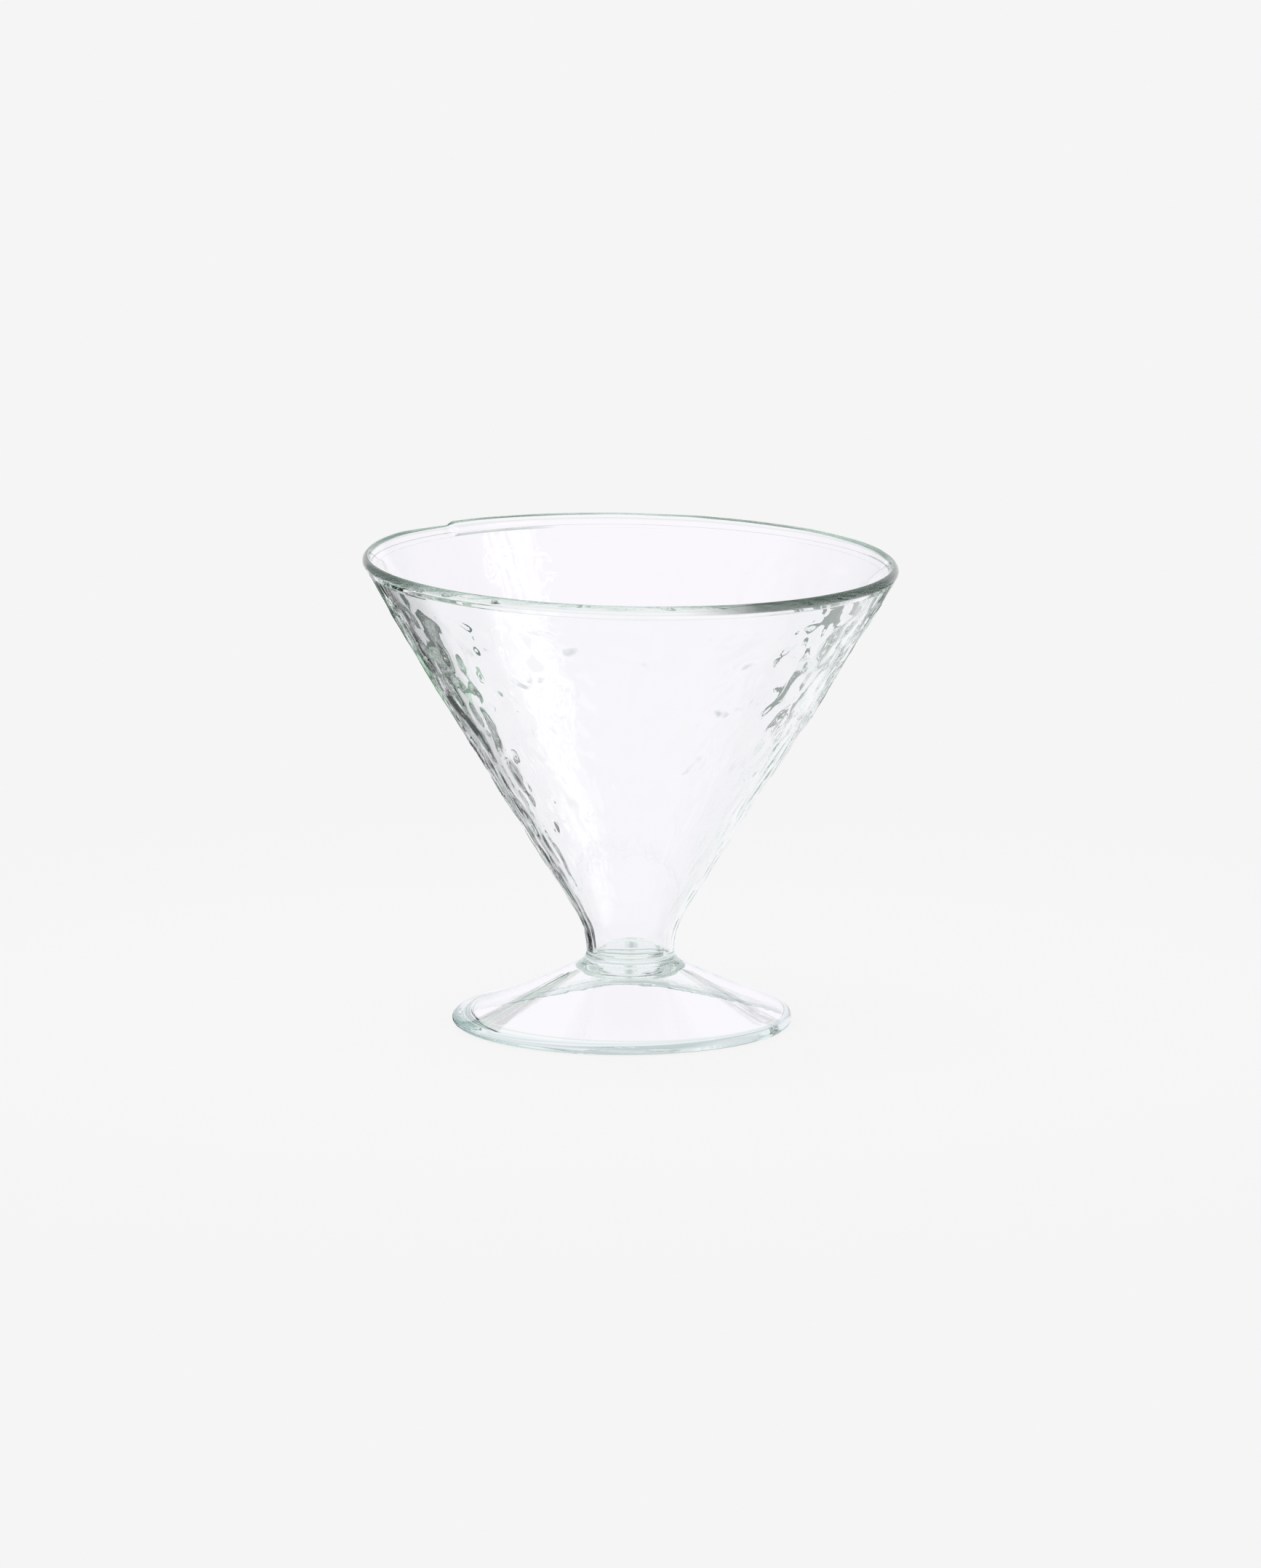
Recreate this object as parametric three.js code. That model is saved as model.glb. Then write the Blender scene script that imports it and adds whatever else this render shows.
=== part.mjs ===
// Hand-blown cocktail glass: a cone-shaped bowl with a narrow waist and a domed floor, a lip wrap of
// glass thread laid on the bowl's edge, a hollow cone-shaped foot, and the wafer of glass under the
// foot where the punty rod held the piece. Units are millimetres and +Z is up. The origin is on the
// table, under the centre of the lip. Angles are counted from +X towards +Y, seen from above.

import * as THREE from 'three';

// Flat sides in one turn

const TURN_SIDES = 60;
const WRAP_SIDES = 120;

// Steps along each curve of an outline

const NECK_STEPS = 5;
const CONE_STEPS = 5;
const HEEL_STEPS = 4;
const GROOVE_STEPS = 4;
const DOME_STEPS = 6;
const LIP_ROUND_STEPS = 5;
const LIP_TOP_STEPS = 4;
const FOOT_TOP_STEPS = 6;
const FOOT_UNDER_STEPS = 4;
const HOLLOW_STEPS = 4;
const FOOT_EDGE_STEPS = 8;
const WAFER_EDGE_STEPS = 6;

// Lip wrap: a thread that is melted flush with the inside, round outside, and laid clockwise from a
// blunt start to a thin tail

const LIP_RADIUS = 57.5;
const LIP_HEIGHT = 101.3;
const LIP_ROUND_RADIUS = 1.5; // of its outer side
const LIP_ROUND_DROP = 1.35; // how far the centre of that rounding lies below the lip
const LIP_ROUND_START_ANGLE = -25;
const LIP_ROUND_END_ANGLE = 50;
const LIP_LEAN_ANGLE = 31; // of its straight inner side, from upright
const LIP_WRAP_HEIGHT = 2.9; // from its seat on the wall up to the lip
const SEAT_INSET = 0.6; // from the lip's widest line to the outer edge of that seat
const WALL_TOP_WIDTH = 2.3;
const WRAP_START_ANGLE = 135;
const TAIL_LENGTH_ANGLE = 19;
const TAIL_HEIGHT_SHARE = 0.8;
const START_HEIGHT_SHARE = 1.05;
const START_FADE_ANGLE = 20;
const NUB_ANGLE = -67;
const NUB_WIDTH_ANGLE = 3;
const NUB_SIZE = 0.5;

// Bowl

const WAIST_RADIUS = 9.5;
const WAIST_HEIGHT = 16.0;
const NECK_CURVE_RADIUS = 16.8;
const HEEL_CURVE_RADIUS = 2.9;
const WAIST_WALL = 1.1;
const BELLY = 0.35; // how far the cone swells beyond a straight line at the middle of its height
const DOME_RADIUS = 7.1;
const DOME_RISE = 3.7;
const FLOOR_THICKNESS = 0.9; // at the groove round the dome, its thinnest place

// Foot

const FOOT_RADIUS = 36.5;
const FOOT_EDGE_RADIUS = 1.35;
const FOOT_WALL = 1.85;
const FOOT_TOP_ANGLE = 28; // slope of its upper side where it leaves the heel
const FOOT_RIM_ANGLE = 20.5; // slope of its upper side where it meets the rounded edge
const FOOT_SAG = 0.47; // how far that side curves in below a straight line
const REST_WIDTH = 1.0; // flat ring that stands on the table
const HOLLOW_BLEND = 1.6; // width over which the hollow rises from that ring
const HOLLOW_BEND_SHARE = 0.25; // where it rises most steeply, of that width
const FOOT_DRIFT = -1.9; // how far the foot's edge lies off the bowl's axis, along X
const FOOT_DRIFT_POWER = 8; // how much of that lies close to the edge

// Wafer under the foot

const WAFER_RADIUS = 10.3;
const WAFER_THICKNESS = 1.2;
const WAFER_MARGIN = 0.5; // flat ceiling beyond the wafer
const WAFER_DISH = 0.3;

// The lip isn't quite level: it drops this much per millimetre towards this bearing

const LEAN_SLOPE = 0.0213;
const LEAN_BEARING = -12;

// Worked out from the values above

const degrees = THREE.MathUtils.degToRad;
const point = (radius, height) => new THREE.Vector2(radius, height);

const SEAT_HEIGHT = LIP_HEIGHT - LIP_WRAP_HEIGHT;
const seatOuter = point(LIP_RADIUS - SEAT_INSET, SEAT_HEIGHT);
const seatInner = point(seatOuter.x - WALL_TOP_WIDTH, SEAT_HEIGHT);
const lipCentre = point(LIP_RADIUS - LIP_ROUND_RADIUS, LIP_HEIGHT - LIP_ROUND_DROP);
const neckCentre = point(WAIST_RADIUS + NECK_CURVE_RADIUS, WAIST_HEIGHT);
const heelCentre = point(WAIST_RADIUS + HEEL_CURVE_RADIUS, WAIST_HEIGHT);
const edgeCentre = point(FOOT_RADIUS - FOOT_EDGE_RADIUS, FOOT_EDGE_RADIUS);

// The foot's upper side runs from the heel's curve to the edge's curve and sags between them
const footTop = degrees(FOOT_TOP_ANGLE);
const footRim = degrees(FOOT_RIM_ANGLE);
const joint = point(
  heelCentre.x - HEEL_CURVE_RADIUS * Math.sin(footTop),
  heelCentre.y - HEEL_CURVE_RADIUS * Math.cos(footTop),
);
const edgeTop = point(
  edgeCentre.x + FOOT_EDGE_RADIUS * Math.sin(footRim),
  edgeCentre.y + FOOT_EDGE_RADIUS * Math.cos(footRim),
);
const footSlope = Math.atan2(joint.y - edgeTop.y, edgeTop.x - joint.x);
const hump = (share) => 4 * share * (1 - share);
const upperSideAt = (radius) => {
  const out = radius - joint.x;
  return joint.y - out * Math.tan(footSlope) - FOOT_SAG * hump(out / (edgeTop.x - joint.x));
};
const undersideAt = (radius) => upperSideAt(radius) - FOOT_WALL / Math.cos(footSlope);
const ceilingRadius = WAFER_RADIUS + WAFER_MARGIN;
const ceilingHeight = undersideAt(ceilingRadius);
const waferEdgeRadius = WAFER_THICKNESS / 2;
const floorHeight = joint.y + FLOOR_THICKNESS;

// Points on a circle, from one angle to another, with both ends
function arc(centre, radius, from, to, steps) {
  const points = [];
  for (let i = 0; i <= steps; i += 1) {
    const angle = from + (to - from) * i / steps;
    points.push(point(centre.x + radius * Math.cos(angle), centre.y + radius * Math.sin(angle)));
  }
  return points;
}

// One side of the bowl's wall: a curve up from the waist, then the cone with its slight belly
function wallOutline(curveRadius, top) {
  const across = top.x - neckCentre.x;
  const up = top.y - neckCentre.y;
  const tilt = Math.atan2(across, up) + Math.asin(curveRadius / Math.hypot(across, up));
  const points = arc(neckCentre, curveRadius, Math.PI, Math.PI - tilt, NECK_STEPS);
  const start = points[points.length - 1];
  for (let i = 1; i <= CONE_STEPS; i += 1) {
    const share = i / CONE_STEPS;
    points.push(point(
      start.x + (top.x - start.x) * share + BELLY * hump(share),
      start.y + (top.y - start.y) * share,
    ));
  }
  return points;
}

// Turns an outline about the Z axis, then moves each point by the piece's own warp
function turned(outline, sides, warp) {
  const geometry = new THREE.LatheGeometry(outline, sides);
  geometry.rotateX(Math.PI / 2);
  const place = geometry.getAttribute('position');
  const vertex = new THREE.Vector3();
  for (let i = 0; i < place.count; i += 1) {
    vertex.fromBufferAttribute(place, i);
    warp(vertex);
    place.setXYZ(i, vertex.x, vertex.y, vertex.z);
  }
  return geometry;
}

// Lowers one side of the bowl and raises the other, more and more from the waist up to the lip
function lean(vertex) {
  const height = (vertex.z - WAIST_HEIGHT) / (SEAT_HEIGHT - WAIST_HEIGHT);
  const share = THREE.MathUtils.clamp(height, 0, 1);
  const bearing = degrees(LEAN_BEARING);
  const along = vertex.x * Math.cos(bearing) + vertex.y * Math.sin(bearing);
  vertex.z -= LEAN_SLOPE * share * along;
}

// Moves the foot sideways, not at all at its joint and fully at its edge
function drift(vertex) {
  const radius = Math.hypot(vertex.x, vertex.y);
  const share = THREE.MathUtils.clamp((radius - joint.x) / (FOOT_RADIUS - joint.x), 0, 1);
  vertex.x += FOOT_DRIFT * share ** FOOT_DRIFT_POWER;
}

// Height of the thread at an angle, as a share of its full height
function threadHeightShare(angle) {
  const laid = THREE.MathUtils.euclideanModulo(WRAP_START_ANGLE - angle, 360);
  const tailStart = 360 - TAIL_LENGTH_ANGLE;
  if (laid > tailStart) {
    const gone = THREE.MathUtils.smoothstep(laid, tailStart, 360);
    return 1 - (1 - TAIL_HEIGHT_SHARE) * gone;
  }
  const fade = Math.max(0, 1 - laid / START_FADE_ANGLE);
  return 1 + (START_HEIGHT_SHARE - 1) * fade;
}

// Thins the thread to its tail, swells its start and its nub, and gives it the bowl's lean
function layThread(vertex) {
  const angle = THREE.MathUtils.radToDeg(Math.atan2(vertex.y, vertex.x));
  const radius = Math.hypot(vertex.x, vertex.y);
  const outer = THREE.MathUtils.clamp((radius - lipCentre.x) / LIP_ROUND_RADIUS, 0, 1);
  const nub = NUB_SIZE * outer * Math.exp(-(((angle - NUB_ANGLE) / NUB_WIDTH_ANGLE) ** 2));
  vertex.x *= 1 + nub / radius;
  vertex.y *= 1 + nub / radius;
  vertex.z = SEAT_HEIGHT + (vertex.z - SEAT_HEIGHT) * threadHeightShare(angle);
  lean(vertex);
}

function bowlGeometry() {
  const outside = wallOutline(NECK_CURVE_RADIUS, seatOuter);
  const inside = wallOutline(NECK_CURVE_RADIUS + WAIST_WALL, seatInner);
  const heel = arc(heelCentre, HEEL_CURVE_RADIUS, 1.5 * Math.PI - footTop, Math.PI, HEEL_STEPS);
  const grooveHalfWidth = (WAIST_RADIUS - WAIST_WALL - DOME_RADIUS) / 2;
  const grooveCentre = point(DOME_RADIUS + grooveHalfWidth, floorHeight + grooveHalfWidth);
  const groove = arc(grooveCentre, grooveHalfWidth, 0, -Math.PI, GROOVE_STEPS);
  const dome = [];
  for (let i = 1; i <= DOME_STEPS; i += 1) {
    const turn = Math.PI / 2 * i / DOME_STEPS;
    dome.push(point(
      i === DOME_STEPS ? 0 : DOME_RADIUS * Math.cos(turn),
      grooveCentre.y + DOME_RISE * Math.sin(turn),
    ));
  }
  const outline = [
    point(0, joint.y),
    ...heel,
    ...outside.slice(1),
    ...inside.reverse(),
    ...groove,
    ...dome,
  ];
  return turned(outline, TURN_SIDES, lean);
}

function lipWrapGeometry() {
  const start = degrees(LIP_ROUND_START_ANGLE);
  const end = degrees(LIP_ROUND_END_ANGLE);
  const lean = degrees(LIP_LEAN_ANGLE);
  const round = arc(lipCentre, LIP_ROUND_RADIUS, start, end, LIP_ROUND_STEPS);
  const last = round[round.length - 1];

  // The top bends from the rounding's end into the inner side, equally far along both
  const onward = point(-Math.sin(end), Math.cos(end));
  const inward = point(Math.sin(lean), Math.cos(lean));
  const apart = last.clone().sub(seatInner);
  const reach = apart.cross(inward) / inward.cross(onward);
  const corner = last.clone().addScaledVector(onward, reach);
  const inside = corner.clone().addScaledVector(inward, -reach);
  const top = new THREE.QuadraticBezierCurve(last, corner, inside).getPoints(LIP_TOP_STEPS);
  const outline = [seatOuter, ...round, ...top.slice(1), seatInner, seatOuter.clone()];
  return turned(outline, WRAP_SIDES, layThread);
}

// Points along a side of the foot, from one radius to another, with both ends
function side(heightAt, from, to, steps) {
  const points = [];
  for (let i = 0; i <= steps; i += 1) {
    const radius = from + (to - from) * i / steps;
    points.push(point(radius, heightAt(radius)));
  }
  return points;
}

function footGeometry() {
  const restInner = edgeCentre.x - REST_WIDTH;
  const blendEnd = restInner - HOLLOW_BLEND;
  const blendMiddle = restInner - HOLLOW_BLEND * HOLLOW_BEND_SHARE;
  const hollowEdge = new THREE.QuadraticBezierCurve(
    point(restInner, 0),
    point(blendMiddle, undersideAt(blendMiddle)),
    point(blendEnd, undersideAt(blendEnd)),
  ).getPoints(HOLLOW_STEPS);
  const edge = arc(
    edgeCentre,
    FOOT_EDGE_RADIUS,
    -Math.PI / 2,
    Math.PI / 2 - footRim,
    FOOT_EDGE_STEPS,
  );
  const outline = [
    point(0, ceilingHeight),
    ...side(undersideAt, ceilingRadius, blendEnd, FOOT_UNDER_STEPS),
    ...hollowEdge.reverse().slice(1),
    ...edge,
    ...side(upperSideAt, edgeTop.x, joint.x, FOOT_TOP_STEPS).slice(1),
    point(0, joint.y),
  ];
  return turned(outline, TURN_SIDES, drift);
}

function waferGeometry() {
  const centre = point(WAFER_RADIUS - waferEdgeRadius, ceilingHeight - waferEdgeRadius);
  const underside = ceilingHeight - WAFER_THICKNESS;
  const outline = [
    point(0, underside + WAFER_DISH),
    point(WAFER_RADIUS / 2, underside + WAFER_DISH / 2),
    ...arc(centre, waferEdgeRadius, -Math.PI / 2, Math.PI / 2, WAFER_EDGE_STEPS),
    point(0, ceilingHeight),
  ];
  return turned(outline, TURN_SIDES, drift);
}

// Clear glass with a faint green tint, each piece a little different

function glass(colour, roughness) {
  return new THREE.MeshStandardMaterial({
    color: colour,
    roughness,
    metalness: 0,
    transparent: true,
    opacity: 0.35,
  });
}

function piece(name, geometry, material) {
  const mesh = new THREE.Mesh(geometry, material);
  mesh.name = name;
  return mesh;
}

const cocktailGlass = new THREE.Group();
cocktailGlass.add(
  piece('bowl', bowlGeometry(), glass(0xe9f2ee, 0.08)),
  piece('lip_wrap', lipWrapGeometry(), glass(0xd6e6de, 0.03)),
  piece('foot', footGeometry(), glass(0xe0eeea, 0.05)),
  piece('pontil_wafer', waferGeometry(), glass(0xcfe2d8, 0.05)),
);

export default cocktailGlass;
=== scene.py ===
import logging
import math
from dataclasses import dataclass, field
from enum import Enum

import bpy
import numpy as np
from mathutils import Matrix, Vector, noise


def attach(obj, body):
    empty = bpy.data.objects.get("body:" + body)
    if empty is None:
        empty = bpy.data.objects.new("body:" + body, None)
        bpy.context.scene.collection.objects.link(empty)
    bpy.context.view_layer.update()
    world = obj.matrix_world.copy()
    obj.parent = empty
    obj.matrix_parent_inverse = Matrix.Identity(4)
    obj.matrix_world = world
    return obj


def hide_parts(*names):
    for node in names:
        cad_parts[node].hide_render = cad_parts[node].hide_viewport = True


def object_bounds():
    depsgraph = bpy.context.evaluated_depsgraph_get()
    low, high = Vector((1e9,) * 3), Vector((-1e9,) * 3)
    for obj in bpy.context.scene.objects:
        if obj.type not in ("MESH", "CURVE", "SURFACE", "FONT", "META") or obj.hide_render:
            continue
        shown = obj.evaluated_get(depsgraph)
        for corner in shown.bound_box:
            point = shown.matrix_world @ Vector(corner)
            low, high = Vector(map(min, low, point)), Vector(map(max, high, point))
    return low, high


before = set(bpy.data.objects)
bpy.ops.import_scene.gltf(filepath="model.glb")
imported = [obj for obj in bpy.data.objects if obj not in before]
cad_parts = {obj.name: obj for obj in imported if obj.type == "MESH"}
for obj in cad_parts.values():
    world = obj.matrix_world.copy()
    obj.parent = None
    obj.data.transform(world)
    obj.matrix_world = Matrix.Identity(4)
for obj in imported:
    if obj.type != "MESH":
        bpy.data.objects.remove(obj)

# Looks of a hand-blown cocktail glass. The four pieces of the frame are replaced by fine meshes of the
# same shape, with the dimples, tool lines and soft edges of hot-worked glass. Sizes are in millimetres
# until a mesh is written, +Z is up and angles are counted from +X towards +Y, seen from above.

cad_low, cad_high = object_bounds()

LOG = logging.getLogger("cocktail_glass")
MM = 0.001
FUSED = "fused"
RIPPLE = "ripple"
# Mesh value for painted shade: how strongly each point of the lip and foot takes the darker edge colour.
PAINTED_SHADE = "painted_shade"

Output = bpy.types.NodeSocket
Tree = bpy.types.NodeTree
MeshData = tuple[list[tuple[float, float, float]], list[tuple[int, ...]]]


class Place(Enum):
    """Where a stretch of a piece's surface lies."""

    OPEN = 0
    FUSED = 1


def arc(centre: np.ndarray, radius: float, start: float, end: float, steps: int) -> np.ndarray:
    """Points on a circle in the (radius, height) plane.

    Args:
        centre: The circle's centre.
        radius: The circle's radius.
        start: First angle, in radians.
        end: Last angle, in radians.
        steps: Number of equal steps between them.

    Returns:
        The points with both ends, one in each row.
    """
    angles = np.linspace(start, end, steps + 1)
    return centre + radius * np.column_stack([np.cos(angles), np.sin(angles)])


def line(start: np.ndarray, end: np.ndarray, steps: int) -> np.ndarray:
    """Points on a straight line, with both ends.

    Args:
        start: First point.
        end: Last point.
        steps: Number of equal steps between them.

    Returns:
        The points, one in each row.
    """
    share = np.linspace(0.0, 1.0, steps + 1)[:, None]
    return start + (end - start) * share


def parabola(start: np.ndarray, corner: np.ndarray, end: np.ndarray, steps: int) -> np.ndarray:
    """Points on a soft bend inside a corner, with both ends.

    Args:
        start: First point.
        corner: Where the curve's directions at its two ends meet.
        end: Last point.
        steps: Number of steps between them.

    Returns:
        The points, one in each row.
    """
    share = np.linspace(0.0, 1.0, steps + 1)[:, None]
    return (1 - share) ** 2 * start + 2 * share * (1 - share) * corner + share**2 * end


def joined(*stretches: np.ndarray) -> np.ndarray:
    """Stretches of an outline as one, without the repeated point where two meet.

    Args:
        stretches: Point rows, each starting where the one before it ends.

    Returns:
        All points, one in each row.
    """
    rest = [stretch[1:] for stretch in stretches[1:]]
    return np.vstack([stretches[0], *rest])


def smooth(low: float, high: float, value: np.ndarray) -> np.ndarray:
    """A soft step from 0 at low to 1 at high.

    Args:
        low: Value at which the step starts.
        high: Value at which it ends. It may be less than low.
        value: Where to read it.

    Returns:
        The step's height at each value.
    """
    share = np.clip((value - low) / (high - low), 0.0, 1.0)
    return share * share * (3.0 - 2.0 * share)


def grain(points: np.ndarray, size: float, seed: float) -> np.ndarray:
    """Smooth random bumps in space.

    Args:
        points: Places in millimetres, one in each row.
        size: Width of one bump.
        seed: Moves the pattern, so that two uses differ.

    Returns:
        About -1 to 1 for each point.
    """
    scaled = points / size + seed
    return np.array([noise.noise(Vector(place)) for place in scaled])


def placed(name: str, data: bpy.types.ID | None) -> bpy.types.Object:
    """Makes an object and links it to the scene.

    Args:
        name: The object's name.
        data: Its mesh, camera or lamp, or None for an empty.

    Returns:
        The new object, which lies at the origin.
    """
    made = bpy.data.objects.new(name, data)
    bpy.context.scene.collection.objects.link(made)
    return made


def aim(thing: bpy.types.Object, target: Vector) -> None:
    """Turns a camera or a lamp towards a place."""
    thing.rotation_mode = "QUATERNION"
    thing.rotation_quaternion = (target - thing.location).to_track_quat("-Z", "Y")


def grey(value: float) -> tuple[float, float, float, float]:
    """An even grey with full alpha."""
    return (value, value, value, 1.0)


@dataclass(frozen=True)
class GlassShape:
    """Driving sizes of the whole glass, as the frame has them, and the places worked out from them."""

    lip_radius: float = 57.5
    lip_height: float = 101.3
    lip_round: float = 1.5
    lip_round_drop: float = 1.35
    lip_round_start: float = -25.0
    lip_round_end: float = 50.0
    seat_height: float = 98.4
    seat_inset: float = 0.6
    wall_top: float = 2.3
    thread_step: float = 0.1
    crease_steps: int = 5
    inner_side_steps: int = 12
    lip_lean: float = 31.0
    waist_radius: float = 9.5
    waist_height: float = 16.0
    neck_curve_radius: float = 16.8
    heel_curve_radius: float = 2.9
    waist_wall: float = 1.1
    belly: float = 0.35
    dome_radius: float = 7.1
    dome_rise: float = 3.7
    floor_thickness: float = 0.9
    foot_radius: float = 36.5
    foot_edge_radius: float = 1.35
    foot_top_slope: float = 28.0
    foot_rim_slope: float = 20.5
    foot_sag: float = 0.47
    foot_wall: float = 1.85
    rest_width: float = 1.0
    hollow_blend: float = 1.6
    foot_drift: float = -1.9
    drift_power: int = 8
    wafer_radius: float = 10.3
    wafer_thickness: float = 1.2
    wafer_margin: float = 0.5
    wafer_dish: float = 0.3
    lean_slope: float = 0.0213
    lean_bearing: float = -12.0

    @property
    def seat_outer(self) -> np.ndarray:
        """Outer edge of the flat top of the wall, where the lip wrap sits."""
        return np.array([self.lip_radius - self.seat_inset, self.seat_height])

    @property
    def seat_inner(self) -> np.ndarray:
        """Inner edge of the flat top of the wall."""
        return self.seat_outer - np.array([self.wall_top, 0.0])

    @property
    def neck_centre(self) -> np.ndarray:
        """Centre of the curves from the waist up into the cone."""
        return np.array([self.waist_radius + self.neck_curve_radius, self.waist_height])

    @property
    def heel_centre(self) -> np.ndarray:
        """Centre of the curve from the waist down onto the foot."""
        return np.array([self.waist_radius + self.heel_curve_radius, self.waist_height])

    @property
    def edge_centre(self) -> np.ndarray:
        """Centre of the foot's rounded edge."""
        return np.array([self.foot_radius - self.foot_edge_radius, self.foot_edge_radius])

    @property
    def joint(self) -> np.ndarray:
        """Edge of the flat disc where the bowl and the foot are fused."""
        slope = math.radians(self.foot_top_slope)
        return self.heel_centre - self.heel_curve_radius * np.array([math.sin(slope), math.cos(slope)])

    @property
    def edge_top(self) -> np.ndarray:
        """Where the foot's upper side runs into its rounded edge."""
        slope = math.radians(self.foot_rim_slope)
        return self.edge_centre + self.foot_edge_radius * np.array([math.sin(slope), math.cos(slope)])

    @property
    def foot_slope(self) -> float:
        """Slope of the straight line along the foot's upper side, in radians."""
        across, up = self.edge_top - self.joint
        return math.atan2(-up, across)

    @property
    def ceiling_radius(self) -> float:
        """Radius of the flat ceiling of the foot's hollow."""
        return self.wafer_radius + self.wafer_margin

    @property
    def ceiling_height(self) -> float:
        """Height of the flat ceiling of the foot's hollow."""
        return self.underside_at(self.ceiling_radius)

    def upper_side_at(self, radius: float) -> float:
        """Height of the foot's upper side, which sags below a straight line, at a radius."""
        out = radius - self.joint[0]
        share = out / (self.edge_top[0] - self.joint[0])
        sag = self.foot_sag * 4.0 * share * (1.0 - share)
        return self.joint[1] - out * math.tan(self.foot_slope) - sag

    def underside_at(self, radius: float) -> float:
        """Height of the foot's sloping underside at a radius."""
        return self.upper_side_at(radius) - self.foot_wall / math.cos(self.foot_slope)

    def lip_section(self, round_steps: int, top_steps: int) -> np.ndarray:
        """Outline of the lip wrap, from its outer corner on the wall over the top to the inner one.

        Args:
            round_steps: Steps along the outer rounding.
            top_steps: Steps along the bend from there over the top to the inner side.

        Returns:
            Points of (radius, height), one in each row.
        """
        outer, inner = self.seat_outer, self.seat_inner
        step = self.thread_step
        crease = arc(outer + np.array([0.0, step]), step, -0.5 * math.pi, 0.0, self.crease_steps)[1:]
        proud = crease[-1]
        centre = np.array([self.lip_radius - self.lip_round, self.lip_height - self.lip_round_drop])
        start, end = math.radians(self.lip_round_start), math.radians(self.lip_round_end)
        bulge = arc(centre, self.lip_round, start, end, round_steps)
        lean = math.radians(self.lip_lean)
        up = np.array([math.sin(lean), math.cos(lean)])
        along = np.array([-math.sin(end), math.cos(end)])
        gone, _ = np.linalg.solve(np.column_stack([along, -up]), inner - bulge[-1])
        corner = bulge[-1] + gone * along
        side = corner - gone * up
        top = parabola(bulge[-1], corner, side, top_steps)
        foot = np.array([outer, crease[0]])
        rise = line(proud, bulge[0], self.crease_steps)
        return joined(foot, crease, rise, bulge, top, line(side, inner, self.inner_side_steps))

    def wall(self, curve_radius: float, top: np.ndarray, arc_steps: int, cone_steps: int) -> np.ndarray:
        """One side of the bowl's wall, from the waist up.

        Args:
            curve_radius: Radius of the neck's curve on this side.
            top: Where the wall ends.
            arc_steps: Steps along the neck's curve.
            cone_steps: Steps along the cone.

        Returns:
            Points of (radius, height), one in each row.
        """
        across, up = top - self.neck_centre
        tilt = math.atan2(across, up) + math.asin(curve_radius / math.hypot(across, up))
        curve = arc(self.neck_centre, curve_radius, math.pi, math.pi - tilt, arc_steps)
        cone = line(curve[-1], top, cone_steps)
        share = np.linspace(0.0, 1.0, cone_steps + 1)
        cone[:, 0] += self.belly * 4.0 * share * (1.0 - share)
        return joined(curve, cone)

    def lean(self, points: np.ndarray) -> np.ndarray:
        """Lowers one side of the bowl and raises the other, more and more up to the lip.

        Args:
            points: Places in space, one in each row.

        Returns:
            The moved places.
        """
        height = (points[:, 2] - self.waist_height) / (self.seat_height - self.waist_height)
        bearing = math.radians(self.lean_bearing)
        along = points[:, 0] * math.cos(bearing) + points[:, 1] * math.sin(bearing)
        moved = points.copy()
        moved[:, 2] -= self.lean_slope * np.clip(height, 0.0, 1.0) * along
        return moved

    def drift(self, points: np.ndarray) -> np.ndarray:
        """Moves the foot sideways, not at all at its joint and fully at its edge.

        Args:
            points: Places in space, one in each row.

        Returns:
            The moved places.
        """
        radius = np.hypot(points[:, 0], points[:, 1])
        share = np.clip((radius - self.joint[0]) / (self.foot_radius - self.joint[0]), 0.0, 1.0)
        moved = points.copy()
        moved[:, 0] += self.foot_drift * share**self.drift_power
        return moved


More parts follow.
